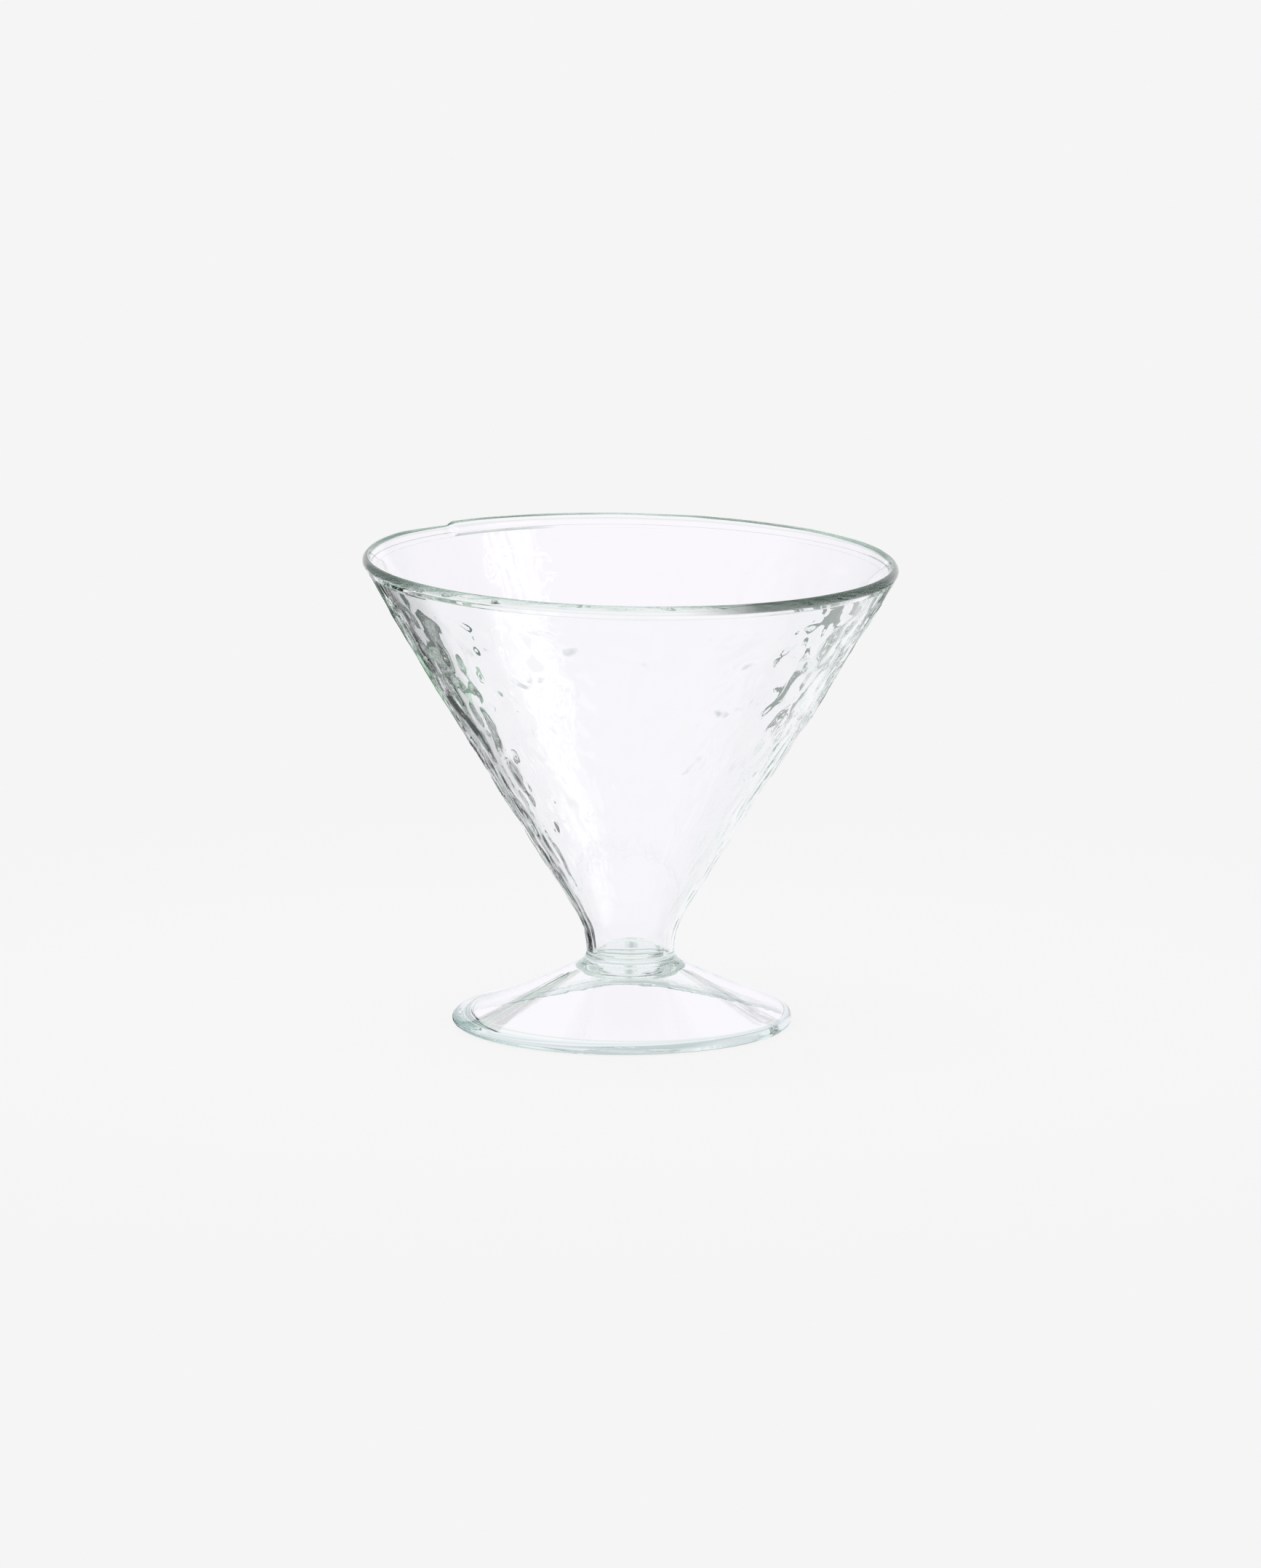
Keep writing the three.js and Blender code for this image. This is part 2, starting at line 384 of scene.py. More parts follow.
class RingMesh:
    """A closed surface made of level rings of points and the strips of faces between them."""

    def __init__(self) -> None:
        """Starts with no points and no faces."""
        self.points: list[np.ndarray] = []
        self.ripple: list[np.ndarray] = []
        self.painted_shade: list[np.ndarray] = []
        self.faces: list[tuple[int, ...]] = []
        self.places: list[Place] = []
        self.count = 0
        self.last: np.ndarray | None = None

    def ring(
        self,
        points: np.ndarray,
        ripple: float = 0.0,
        painted_shade: float | np.ndarray = 0.0,
        place: Place = Place.OPEN,
    ) -> np.ndarray:
        """Adds a ring, or a single point, and joins it to the one before it.

        Args:
            points: Places in millimetres, anticlockwise seen from above.
            ripple: How strong the fine ripple of the surface is there, from 0 to 1.
            painted_shade: How strong the painted shade on a thick edge is there, from 0 to 1.
            place: Where the strip between the two rings lies.

        Returns:
            The numbers of the new points.
        """
        numbers = np.arange(self.count, self.count + len(points))
        self.points.append(points)
        self.ripple.append(np.full(len(points), ripple))
        self.painted_shade.append(np.broadcast_to(painted_shade, len(points)))
        self.count += len(points)
        if self.last is not None:
            self.strip(self.last, numbers, place)
        self.last = numbers
        return numbers

    def strip(self, first: np.ndarray, second: np.ndarray, place: Place = Place.OPEN) -> None:
        """Joins two rings. Outside faces go upwards, and inside faces downwards.

        Args:
            first: The ring, or single point, that the surface comes from.
            second: The ring that it goes to, with as many points, half as many or one.
            place: Where the strip lies.
        """
        one, two = len(first), len(second)
        if two == 1:
            new = [(a, b, int(second[0])) for a, b in zip(first, np.roll(first, -1))]
        elif one == 1:
            new = [(int(first[0]), b, a) for a, b in zip(second, np.roll(second, -1))]
        elif one == two:
            new = list(zip(first, np.roll(first, -1), np.roll(second, -1), second))
        else:
            new = self._thinning(first, second)
        self.faces += [tuple(int(n) for n in face) for face in new]
        self.places += [place] * len(new)

    @staticmethod
    def _thinning(many: np.ndarray, few: np.ndarray) -> list[tuple[int, ...]]:
        """Faces between a ring and one with half as many points.

        Args:
            many: The ring with more points.
            few: The ring with half as many.

        Returns:
            Three triangles for each point of the ring with few points.
        """
        faces = []
        for i, here in enumerate(few):
            after = few[(i + 1) % len(few)]
            left, middle, right = many[2 * i], many[2 * i + 1], many[(2 * i + 2) % len(many)]
            faces += [(left, middle, here), (middle, after, here), (middle, right, after)]
        return faces

    def build(self, name: str) -> bpy.types.Object:
        """Writes the surface as an object.

        Args:
            name: The object's name.

        Returns:
            The new object, which lies at the origin.
        """
        mesh = bpy.data.meshes.new(name)
        mesh.from_pydata((np.vstack(self.points) * MM).tolist(), [], self.faces)
        fused = np.array([place is Place.FUSED for place in self.places])
        mesh.attributes.new(FUSED, "FLOAT", "FACE").data.foreach_set("value", fused.astype(np.float32))
        for attribute, values in ((RIPPLE, self.ripple), (PAINTED_SHADE, self.painted_shade)):
            at_points = np.concatenate(values).astype(np.float32)
            mesh.attributes.new(attribute, "FLOAT", "POINT").data.foreach_set("value", at_points)
        mesh.polygons.foreach_set("use_smooth", ~fused)
        mesh.update()
        mesh.validate()
        self._sharpen_seams(mesh, fused)
        return placed(name, mesh)

    @staticmethod
    def _sharpen_seams(mesh: bpy.types.Mesh, fused: np.ndarray) -> None:
        """Keeps the shading of open faces apart from that of the fused ones beside them.

        Args:
            mesh: The mesh to mark.
            fused: Whether each face is fused.
        """
        counts = np.empty(len(mesh.polygons), np.int32)
        mesh.polygons.foreach_get("loop_total", counts)
        edges = np.empty(len(mesh.loops), np.int32)
        mesh.loops.foreach_get("edge_index", edges)
        of_fused = np.bincount(edges, weights=np.repeat(fused, counts), minlength=len(mesh.edges))
        sharp = mesh.attributes.new("sharp_edge", "BOOLEAN", "EDGE")
        sharp.data.foreach_set("value", of_fused == 1)


def turn(radius: np.ndarray | float, height: np.ndarray | float, angles: np.ndarray) -> np.ndarray:
    """Points round the Z axis.

    Args:
        radius: Distance from the axis, one for all or one for each angle.
        height: Height, likewise.
        angles: Angles in radians.

    Returns:
        One point in space for each angle.
    """
    level = np.broadcast_to(height, angles.shape)
    return np.column_stack([radius * np.cos(angles), radius * np.sin(angles), level])


def round_angles(sides: int) -> np.ndarray:
    """Equally spaced angles of one turn."""
    return np.arange(sides) * (math.tau / sides)


def outline_normals(outline: np.ndarray) -> np.ndarray:
    """Unit normals of an outline, to the right of its way, which is outside for a rising one.

    Args:
        outline: Points of (radius, height), one in each row.

    Returns:
        A normal for each point.
    """
    ahead = np.gradient(outline, axis=0)
    side = np.column_stack([ahead[:, 1], -ahead[:, 0]])
    return side / np.linalg.norm(side, axis=1)[:, None]


class Socket(Enum):
    """Kinds of socket on the shader groups."""

    NUMBER = "NodeSocketFloat"
    PLACE = "NodeSocketVector"
    COLOUR = "NodeSocketColor"


class Nodes:
    """Short ways to build a node tree."""

    def __init__(self, tree: Tree) -> None:
        """Takes the tree to build in and empties it."""
        self.tree = tree
        tree.nodes.clear()

    def add(
        self, kind: str, entries: dict[str | int, object] | None = None, **values: object
    ) -> bpy.types.Node:
        """Adds a node.

        Args:
            kind: The node's type name.
            entries: Inputs by name or number, each a constant or an output to link.
            values: Properties of the node.

        Returns:
            The new node.
        """
        node = self.tree.nodes.new(kind)
        for name, value in values.items():
            setattr(node, name, value)
        for key, value in (entries or {}).items():
            if isinstance(value, Output):
                self.tree.links.new(value, node.inputs[key])
            else:
                node.inputs[key].default_value = value
        return node

    def maths(self, operation: str, *terms: float | Output) -> Output:
        """Adds a Math node.

        Args:
            operation: The node's operation.
            terms: Its inputs, each a number or an output to link.

        Returns:
            The node's output.
        """
        return self.add("ShaderNodeMath", dict(enumerate(terms)), operation=operation).outputs[0]

    def mix(self, share: Output, first: object, second: object) -> Output:
        """Adds a mix of two colours, each a constant or an output, and returns it."""
        entries = {"Factor": share, "A": first, "B": second}
        return self.add("ShaderNodeMix", entries, data_type="RGBA").outputs["Result"]

    def choose(self, share: Output, first: Output, second: Output) -> Output:
        """Adds a mix of two shaders and returns it."""
        return self.add("ShaderNodeMixShader", {"Fac": share, 1: first, 2: second}).outputs["Shader"]

    def bumps(self, place: Output, size: Output, **others: float) -> Output:
        """Adds a noise texture.

        Args:
            place: Where to read it.
            size: The width of one bump.
            others: The noise's other inputs, by name.

        Returns:
            Its value.
        """
        entries = {"Vector": place, "Scale": self.maths("DIVIDE", 1.0, size), **others}
        return self.add("ShaderNodeTexNoise", entries, noise_dimensions="3D").outputs["Fac"]

    def attribute(self, name: str) -> Output:
        """Adds the reading of one of the mesh's own values and returns it."""
        return self.add("ShaderNodeAttribute", attribute_name=name).outputs["Fac"]

    def object_place(self) -> Output:
        """Adds the place in the object's own coordinates and returns it."""
        return self.add("ShaderNodeTexCoord").outputs["Object"]


def new_material(name: str) -> tuple[bpy.types.Material, Nodes]:
    """Makes an empty material and the builder of its nodes."""
    material = bpy.data.materials.new(name)
    material.use_nodes = True
    return material, Nodes(material.node_tree)


def shader_group(
    name: str, entries: dict[str, Socket], results: dict[str, Socket]
) -> tuple[Tree, Nodes, bpy.types.Node]:
    """Starts a shader group.

    Args:
        name: The group's name.
        entries: Its inputs.
        results: Its outputs.

    Returns:
        The group, its builder and its input node.
    """
    group = bpy.data.node_groups.new(name, "ShaderNodeTree")
    for side, sockets in (("INPUT", entries), ("OUTPUT", results)):
        for socket, kind in sockets.items():
            group.interface.new_socket(socket, in_out=side, socket_type=kind.value)
    make = Nodes(group)
    return group, make, make.add("NodeGroupInput")


def fine_ripple_group() -> Tree:
    """Builds the shader group for the fine ripple that a fire-polished surface keeps.

    Returns:
        A group with the inputs Bump Size and Depth, in metres, and Amount, and the output Height.
    """
    entries = dict.fromkeys(("Bump Size", "Depth", "Amount"), Socket.NUMBER)
    group, make, entry = shader_group("fine_ripple", entries, {"Height": Socket.NUMBER})
    bumps = make.bumps(make.object_place(), entry.outputs["Bump Size"], Detail=1.5, Roughness=0.45)
    depth = make.maths("MULTIPLY", entry.outputs["Depth"], entry.outputs["Amount"])
    make.add("NodeGroupOutput", {"Height": make.maths("MULTIPLY", bumps, depth)})
    return group


def clouding_group() -> Tree:
    """Builds the shader group for the faint cords and clouding inside hand-gathered glass.

    Returns:
        A group with the inputs Pale, Deep and Cord Size, and the output Color.
    """
    entries = {"Pale": Socket.COLOUR, "Deep": Socket.COLOUR, "Cord Size": Socket.NUMBER}
    group, make, entry = shader_group("clouding", entries, {"Color": Socket.COLOUR})
    cords = make.bumps(make.object_place(), entry.outputs["Cord Size"], Detail=2.0, Distortion=0.8)
    colour = make.mix(cords, entry.outputs["Pale"], entry.outputs["Deep"])
    make.add("NodeGroupOutput", {"Color": colour})
    return group


@dataclass(frozen=True)
class GlassFinish:
    """Clear hand-made glass with a faint green body colour, and painted shade on the edges that the mesh
    marks.
    """

    name: str
    through: tuple[float, float, float] = (0.925, 0.97, 0.96)
    thickness: float = 10.0
    pale: tuple[float, float, float] = (1.0, 1.0, 1.0)
    deep: tuple[float, float, float] = (0.97, 0.985, 0.98)
    # Colour of the painted shade, laid over the clouding where the mesh asks for it.
    edge: tuple[float, float, float] = (0.84, 0.92, 0.92)
    cord_size: float = 6.0
    bump_size: float = 1.2
    bump_depth: float = 0.007
    shadow: float = 0.86
    ior: float = 1.5

    def build(self, ripple: Tree, clouding: Tree) -> bpy.types.Material:
        """Makes the material.

        Args:
            ripple: The fine ripple group.
            clouding: The clouding group.

        Returns:
            The new material.
        """
        material, make = new_material(self.name)
        entries = {
            "Metallic": 0.0,
            "Roughness": 0.0,
            "IOR": self.ior,
            "Transmission Weight": 1.0,
            "Base Color": self._colour(make, clouding),
            "Normal": self._normal(make, ripple),
            "Alpha": make.maths("SUBTRACT", 1.0, make.attribute(FUSED)),
        }
        glass = make.add("ShaderNodeBsdfPrincipled", entries).outputs["BSDF"]
        surface = self._let_light_pass(make, glass)
        make.add("ShaderNodeOutputMaterial", {"Surface": surface, "Volume": self._body_colour(make)})
        return material

    def _colour(self, make: Nodes, clouding: Tree) -> Output:
        """Adds the clouding, with the painted shade of the edges that the mesh marks over it, and returns its
        colour.
        """
        entries = {"Pale": (*self.pale, 1.0), "Deep": (*self.deep, 1.0), "Cord Size": self.cord_size * MM}
        clouds = make.add("ShaderNodeGroup", entries, node_tree=clouding).outputs["Color"]
        # Painted shade: the edge colour over the clouding, as strong as the mesh's value says.
        return make.mix(make.attribute(PAINTED_SHADE), clouds, (*self.edge, 1.0))

    def _normal(self, make: Nodes, ripple: Tree) -> Output:
        """Adds the fine ripple, where the mesh says how strong it is, and returns its normal."""
        entries = {
            "Bump Size": self.bump_size * MM,
            "Depth": self.bump_depth * MM,
            "Amount": make.attribute(RIPPLE),
        }
        height = make.add("ShaderNodeGroup", entries, node_tree=ripple).outputs["Height"]
        bump = make.add("ShaderNodeBump", {"Strength": 1.0, "Distance": 1.0, "Height": height})
        return bump.outputs["Normal"]

    def _let_light_pass(self, make: Nodes, surface: Output) -> Output:
        """Lets lamps and the floor's light straight through, so that the shadow stays faint."""
        path = make.add("ShaderNodeLightPath")
        for ray in ("Is Shadow Ray", "Is Diffuse Ray"):
            clear = make.add("ShaderNodeBsdfTransparent", {"Color": grey(self.shadow)}).outputs["BSDF"]
            surface = make.choose(path.outputs[ray], surface, clear)
        return surface

    def _body_colour(self, make: Nodes) -> Output:
        """Adds the green that grows with the glass's thickness."""
        losses = [-math.log(share) / (self.thickness * MM) for share in self.through]
        # Twice the largest loss leaves each channel of the colour at a half or more.
        density = 2.0 * max(losses)
        colour = (*[1.0 - loss / density for loss in losses], 1.0)
        inside = make.add("ShaderNodeVolumeAbsorption", {"Color": colour, "Density": density})
        return inside.outputs["Volume"]


@dataclass
class Bowl:
    """The blown cone with its dimpled outside, its narrow waist and its domed floor."""

    shape: GlassShape
    sides: int = 640
    inner_sides: int = 320
    joint_gap: float = 0.01
    dimple_sizes: tuple[float, ...] = (6.0, 2.8, 1.4)
    dimple_depths: tuple[float, ...] = (0.32, 0.18, 0.025)
    dimple_stretch: float = 1.4
    dimple_radius: float = 38.0
    dimple_seed: float = 11.3
    patch_size: float = 22.0
    patch_seed: float = 5.7
    patch_mean: float = 0.85
    patch_swing: float = 0.6
    smooth_band: float = 3.2
    band_fade: float = 2.6
    neck_calm: tuple[float, float] = (18.0, 58.0)
    neck_share: float = 0.12
    inner_swell_sizes: tuple[float, ...] = (9.0, 3.6)
    inner_swell_depths: tuple[float, ...] = (0.06, 0.03)
    inner_swell_seed: float = 71.7
    inner_ripple: float = 0.25
    heel_steps: int = 10
    neck_steps: int = 18
    cone_steps: int = 160
    inner_neck_steps: int = 10
    inner_cone_steps: int = 44
    groove_steps: int = 8
    dome_points: int = 17

    def dimples(self, points: np.ndarray, height: float) -> np.ndarray:
        """How far the outside stands out at each point of a ring.

        Args:
            points: The ring's places in millimetres.
            height: The ring's height before the lean.

        Returns:
            A distance in millimetres for each point.
        """
        amount = self.texture(height)
        if amount <= 0.0:
            return np.zeros(len(points))
        angles = np.arctan2(points[:, 1], points[:, 0])
        places = turn(self.dimple_radius, height / self.dimple_stretch, angles)
        waves = [
            depth * grain(places, size, self.dimple_seed * (i + 1))
            for i, (size, depth) in enumerate(zip(self.dimple_sizes, self.dimple_depths))
        ]
        uneven = self.patch_mean + self.patch_swing * grain(points, self.patch_size, self.patch_seed)
        return amount * uneven * np.sum(waves, axis=0)

    def texture(self, height: float) -> float:
        """How strong the dimples are at a height, from 0 to 1.

        Args:
            height: Height before the lean.

        Returns:
            0 under the lip and at the waist, 1 on the cone.
        """
        below = self.shape.seat_height - height
        under_lip = smooth(self.smooth_band, self.smooth_band + self.band_fade, np.array(below))
        neck = smooth(*self.neck_calm, np.array(height))
        return float(under_lip * (self.neck_share + (1.0 - self.neck_share) * neck))

    def outside(self) -> np.ndarray:
        """Outline from the joint up to the seat."""
        shape = self.shape
        top = shape.seat_outer - np.array([0.0, self.joint_gap])
        slope = math.radians(shape.foot_top_slope)
        start = 1.5 * math.pi - slope
        heel = arc(shape.heel_centre, shape.heel_curve_radius, start, math.pi, self.heel_steps)
        wall = shape.wall(shape.neck_curve_radius, top, self.neck_steps, self.cone_steps)
        return joined(heel, wall)

    def inside(self) -> np.ndarray:
        """Outline from the seat down to the dome's top, on the axis."""
        shape = self.shape
        top = shape.seat_inner - np.array([0.0, self.joint_gap])
        curve_radius = shape.neck_curve_radius + shape.waist_wall
        wall = shape.wall(curve_radius, top, self.inner_neck_steps, self.inner_cone_steps)[::-1]
        half_width = (shape.waist_radius - shape.waist_wall - shape.dome_radius) / 2
        floor_height = shape.joint[1] + shape.floor_thickness
        groove_centre = np.array([shape.dome_radius + half_width, floor_height + half_width])
        groove = arc(groove_centre, half_width, 0.0, -math.pi, self.groove_steps)
        rise = np.linspace(0.0, math.pi / 2, self.dome_points)
        dome = np.column_stack(
            [shape.dome_radius * np.cos(rise), groove_centre[1] + shape.dome_rise * np.sin(rise)]
        )
        return joined(wall, groove, dome)

    def build(self) -> bpy.types.Object:
        """Makes the bowl's mesh.

        Returns:
            The new object.
        """
        shape, made = self.shape, RingMesh()
        angles, inner_angles = round_angles(self.sides), round_angles(self.inner_sides)
        outline = self.outside()
        outline[0, 1] += self.joint_gap
        normals = outline_normals(outline)
        made.ring(np.array([[0.0, 0.0, outline[0, 1]]]))
        for i, ((radius, height), (out, up)) in enumerate(zip(outline, normals)):
            push = self.dimples(turn(radius, height, angles), height)
            ring = shape.lean(turn(radius + push * out, height + push * up, angles))
            made.ring(ring, self.texture(height), place=Place.OPEN if i else Place.FUSED)
        outline = self.inside()
        for i, (radius, height) in enumerate(outline[:-1]):
            ring = turn(radius, height, inner_angles)
            swells = [
                depth * grain(ring, size, self.inner_swell_seed)
                for size, depth in zip(self.inner_swell_sizes, self.inner_swell_depths)
            ]
            texture = self.texture(height)
            ring = shape.lean(turn(radius + texture * np.sum(swells, axis=0), height, inner_angles))
            made.ring(ring, self.inner_ripple * texture, place=Place.OPEN if i else Place.FUSED)
        made.ring(shape.lean(np.array([[0.0, 0.0, outline[-1, 1]]])))
        return made.build("bowl_glass")


@dataclass
class LipWrap:
    """The rounded thread of glass along the lip."""

    shape: GlassShape
    sides: int = 720
    round_steps: int = 12
    top_steps: int = 10
    joint_gap: float = 0.01
    start_angle: float = 135.0
    start_length: float = 2.2
    tail_length: float = 19.0
    tail_share: float = 0.8
    start_share: float = 1.05
    start_fade: float = 20.0
    nub_angle: float = -67.0
    nub_width: float = 3.0
    nub_size: float = 0.5
    swell_depth: float = 0.55
    swell_length: float = 45.0
    waver_size: float = 9.0
    waver_depth: float = 0.05
    waver_seed: float = 31.9
    waver_from: float = 0.4
    ripple: float = 0.1
    # Painted shade on the lip: dark bands, in degrees, on the left and right as the camera sees the glass,
    # only on the upper part of the thread.
    left_shade_band: tuple[float, float, float, float] = (168.0, 182.0, 206.0, 236.0)
    right_shade_band: tuple[float, float, float, float] = (279.0, 300.0, 340.0, 376.0)
    shaded_top_rows: int = 5
    left_shade_from: float = 0.42
    right_shade_from: float = 0.24
    shade_fade: float = 0.15

    @property
    def outer_rows(self) -> int:
        """Number of the last ring on the outer side."""
        return self.round_steps + 2 * self.shape.crease_steps

    def laid(self, angles: np.ndarray) -> np.ndarray:
        """How far from its start the thread lies at each angle, in degrees."""
        return np.mod(self.start_angle - np.degrees(angles), 360.0)

    def height_share(self, angles: np.ndarray) -> np.ndarray:
        """Height of the thread at each angle, as a share of its full height.

        Args:
            angles: Angles in radians.

        Returns:
            A share for each angle.
        """
        laid = self.laid(angles)
        tail_start = 360.0 - self.tail_length
        tail = 1.0 - (1.0 - self.tail_share) * smooth(tail_start, 360.0, laid)
        fade = np.clip(1.0 - laid / self.start_fade, 0.0, 1.0)
        full = np.where(laid > tail_start, tail, 1.0 + (self.start_share - 1.0) * fade)
        return self.tail_share + (full - self.tail_share) * smooth(0.0, self.start_length, laid)

    def start_swell(self, angles: np.ndarray) -> np.ndarray:
        """How far the thick start of the thread swells inwards at each angle.

        Args:
            angles: Angles in radians.

        Returns:
            A distance in millimetres for each angle.
        """
        laid = self.laid(angles)
        return self.swell_depth * smooth(0.0, self.start_length, laid) * smooth(self.swell_length, 0.0, laid)

    def lip_painted_shade(self, angles: np.ndarray, climbed: float) -> np.ndarray:
        """How strong the painted shade is on a ring: most at the two sides, as the camera sees them, and near
        the top.

        Args:
            angles: Angles in radians.
            climbed: The ring's height, as a share of the thread's.

        Returns:
            0 to 1 for each angle.
        """
        turned = np.degrees(angles) % 360.0
        turned = np.where(turned < 90.0, turned + 360.0, turned)
        found = np.zeros(len(angles))
        sides = ((self.left_shade_band, self.left_shade_from), (self.right_shade_band, self.right_shade_from))
        for (start, full, full_end, end), from_height in sides:
            upper = smooth(from_height, from_height + self.shade_fade, np.array(climbed))
            found += upper * smooth(start, full, turned) * smooth(end, full_end, turned)
        return found

    def build(self) -> bpy.types.Object:
        """Makes the lip wrap's mesh.

        Returns:
            The new object.
        """
        shape, made = self.shape, RingMesh()
        angles = round_angles(self.sides)
        degrees = np.degrees(np.arctan2(np.sin(angles), np.cos(angles)))
        section = shape.lip_section(self.round_steps, self.top_steps)
        share = self.height_share(angles)
        nub = self.nub_size * np.exp(-(((degrees - self.nub_angle) / self.nub_width) ** 2))
        swell = self.start_swell(angles)
        full = shape.lip_height - shape.seat_height
        rings = []
        for row, (radius, height) in enumerate(section):
            climbed = (height - shape.seat_height) / full
            inner = -swell * math.sin(math.pi * min(climbed, 1.0))
            place = radius + (nub * climbed if row <= self.outer_rows else inner)
            above = (height - shape.seat_height) * share
            ring = turn(place, shape.seat_height + above + self.joint_gap, angles)
            waver = self.waver_depth * grain(ring, self.waver_size, self.waver_seed)
            waver *= smooth(0.0, self.waver_from, above)
            ring = turn(place + waver, ring[:, 2] + waver, angles)
            # Painted shade only on the outer side and the first rows over the top.
            painted_shade = self.lip_painted_shade(angles, climbed) if row <= self.outer_rows + self.shaded_top_rows else 0.0
            rings.append(made.ring(shape.lean(ring), self.ripple, painted_shade))
        made.strip(rings[-1], rings[0], Place.FUSED)
        return made.build("lip_wrap_glass")


@dataclass
class Foot:
    """The hollow cone foot with its rounded edge and its turned tool lines."""

    shape: GlassShape
    sides: int = 384
    joint_gap: float = 0.01
    line_size: float = 0.9
    line_depth: float = 0.006
    edge_line_depth: float = 0.03
    line_seed: float = 47.1
    edge_line_seed: float = 5.5
    edge_line_step: float = 0.42
    line_loop: float = 1.6
    flat_steps: int = 3
    under_points: int = 35
    bend_steps: int = 12
    upper_steps: int = 56
    edge_steps: int = 28
    rest_steps: int = 2
    # Painted shade on the foot's edge: full at the front, towards the camera, and this share behind.
    back_painted_shade: float = 0.25
    front_fade: tuple[float, float] = (0.25, -0.05)
    ripple: float = 0.3

    def outline(self) -> tuple[np.ndarray, int]:
        """Outline from the wafer's edge on the ceiling, out along the underside, to the joint.

        Returns:
            Points of (radius, height), and the number of the first point on the rounded edge.
        """
        shape = self.shape
        rest_inner = shape.edge_centre[0] - shape.rest_width
        blend_end = rest_inner - shape.hollow_blend
        blend_middle = rest_inner - shape.hollow_blend / 4
        flat = line(
            np.array([shape.wafer_radius - shape.wafer_thickness / 2, shape.ceiling_height]),
            np.array([shape.ceiling_radius, shape.ceiling_height]),
            self.flat_steps,
        )
        radii = np.linspace(shape.ceiling_radius, blend_end, self.under_points)
        slope = np.array([[radius, shape.underside_at(radius)] for radius in radii])
        corner = np.array([blend_middle, shape.underside_at(blend_middle)])
        bend = parabola(slope[-1], corner, np.array([rest_inner, 0.0]), self.bend_steps)
        rest = line(bend[-1], np.array([shape.edge_centre[0], 0.0]), self.flat_steps)
        under = joined(flat, slope, bend, rest)
        edge = arc(
            shape.edge_centre,
            shape.foot_edge_radius,
            -math.pi / 2,
            math.pi / 2 - math.radians(shape.foot_rim_slope),
            self.edge_steps,
        )
        radii = np.linspace(edge[-1][0], shape.joint[0], self.upper_steps + 1)
        upper = np.array([[radius, shape.upper_side_at(radius)] for radius in radii])
        return joined(under, edge, upper), len(under) - 1

    def build(self) -> bpy.types.Object:
        """Makes the foot's mesh.

        Returns:
            The new object.
        """
        shape, made = self.shape, RingMesh()
        angles = round_angles(self.sides)
        outline, edge_start = self.outline()
        outline[-1, 1] -= self.joint_gap
        normals = outline_normals(outline)
        made.ring(np.array([[0.0, 0.0, shape.ceiling_height]]))
        for i, ((radius, height), (out, up)) in enumerate(zip(outline, normals)):
            push = self.tool_lines(i, edge_start, radius, len(outline), angles)
            ring = shape.drift(turn(radius + push * out, height + push * up, angles))
            # Painted shade on the rounded edge and the rest under it.
            painted_shade = self.edge_painted_shade(i - edge_start, angles)
            made.ring(ring, self.ripple, painted_shade, Place.OPEN if i else Place.FUSED)
        made.ring(np.array([[0.0, 0.0, outline[-1, 1]]]), place=Place.FUSED)
        return made.build("foot_glass")

    def edge_painted_shade(self, on_edge: int, angles: np.ndarray) -> np.ndarray:
        """How strong the painted shade on the foot's edge is on a ring.

        Args:
            on_edge: The ring's number, counted from the first one on the rounded edge.
            angles: The angles round the ring.

        Returns:
            1 on the front of the rounded edge, towards the camera, and the rest under it, less behind, and 0
            elsewhere.
        """
        if not -self.rest_steps <= on_edge <= self.edge_steps:
            return np.zeros(len(angles))
        return self.back_painted_shade + (1.0 - self.back_painted_shade) * smooth(*self.front_fade, np.sin(angles))

    def tool_lines(
        self, row: int, edge_start: int, radius: float, rows: int, angles: np.ndarray
    ) -> np.ndarray:
        """How far the turned lines stand out on a ring.

        Args:
            row: The ring's number in the outline.
            edge_start: The number of the first ring on the rounded edge.
            radius: The ring's radius.
            rows: The number of rings.
            angles: The angles round the ring.

        Returns:
            A distance in millimetres for each angle.
        """
        if row <= edge_start or row == rows - 1:
            return np.zeros(len(angles))
        on_edge = row - edge_start
        around = turn(self.line_loop, 0.0, angles)
        if on_edge <= self.edge_steps:
            rise = math.sin(math.pi * on_edge / self.edge_steps)
            around[:, 2] = on_edge * self.edge_line_step
            return self.edge_line_depth * rise * grain(around, 1.0, self.edge_line_seed)
        around[:, 2] = radius / self.line_size
        return self.line_depth * grain(around, 1.0, self.line_seed)


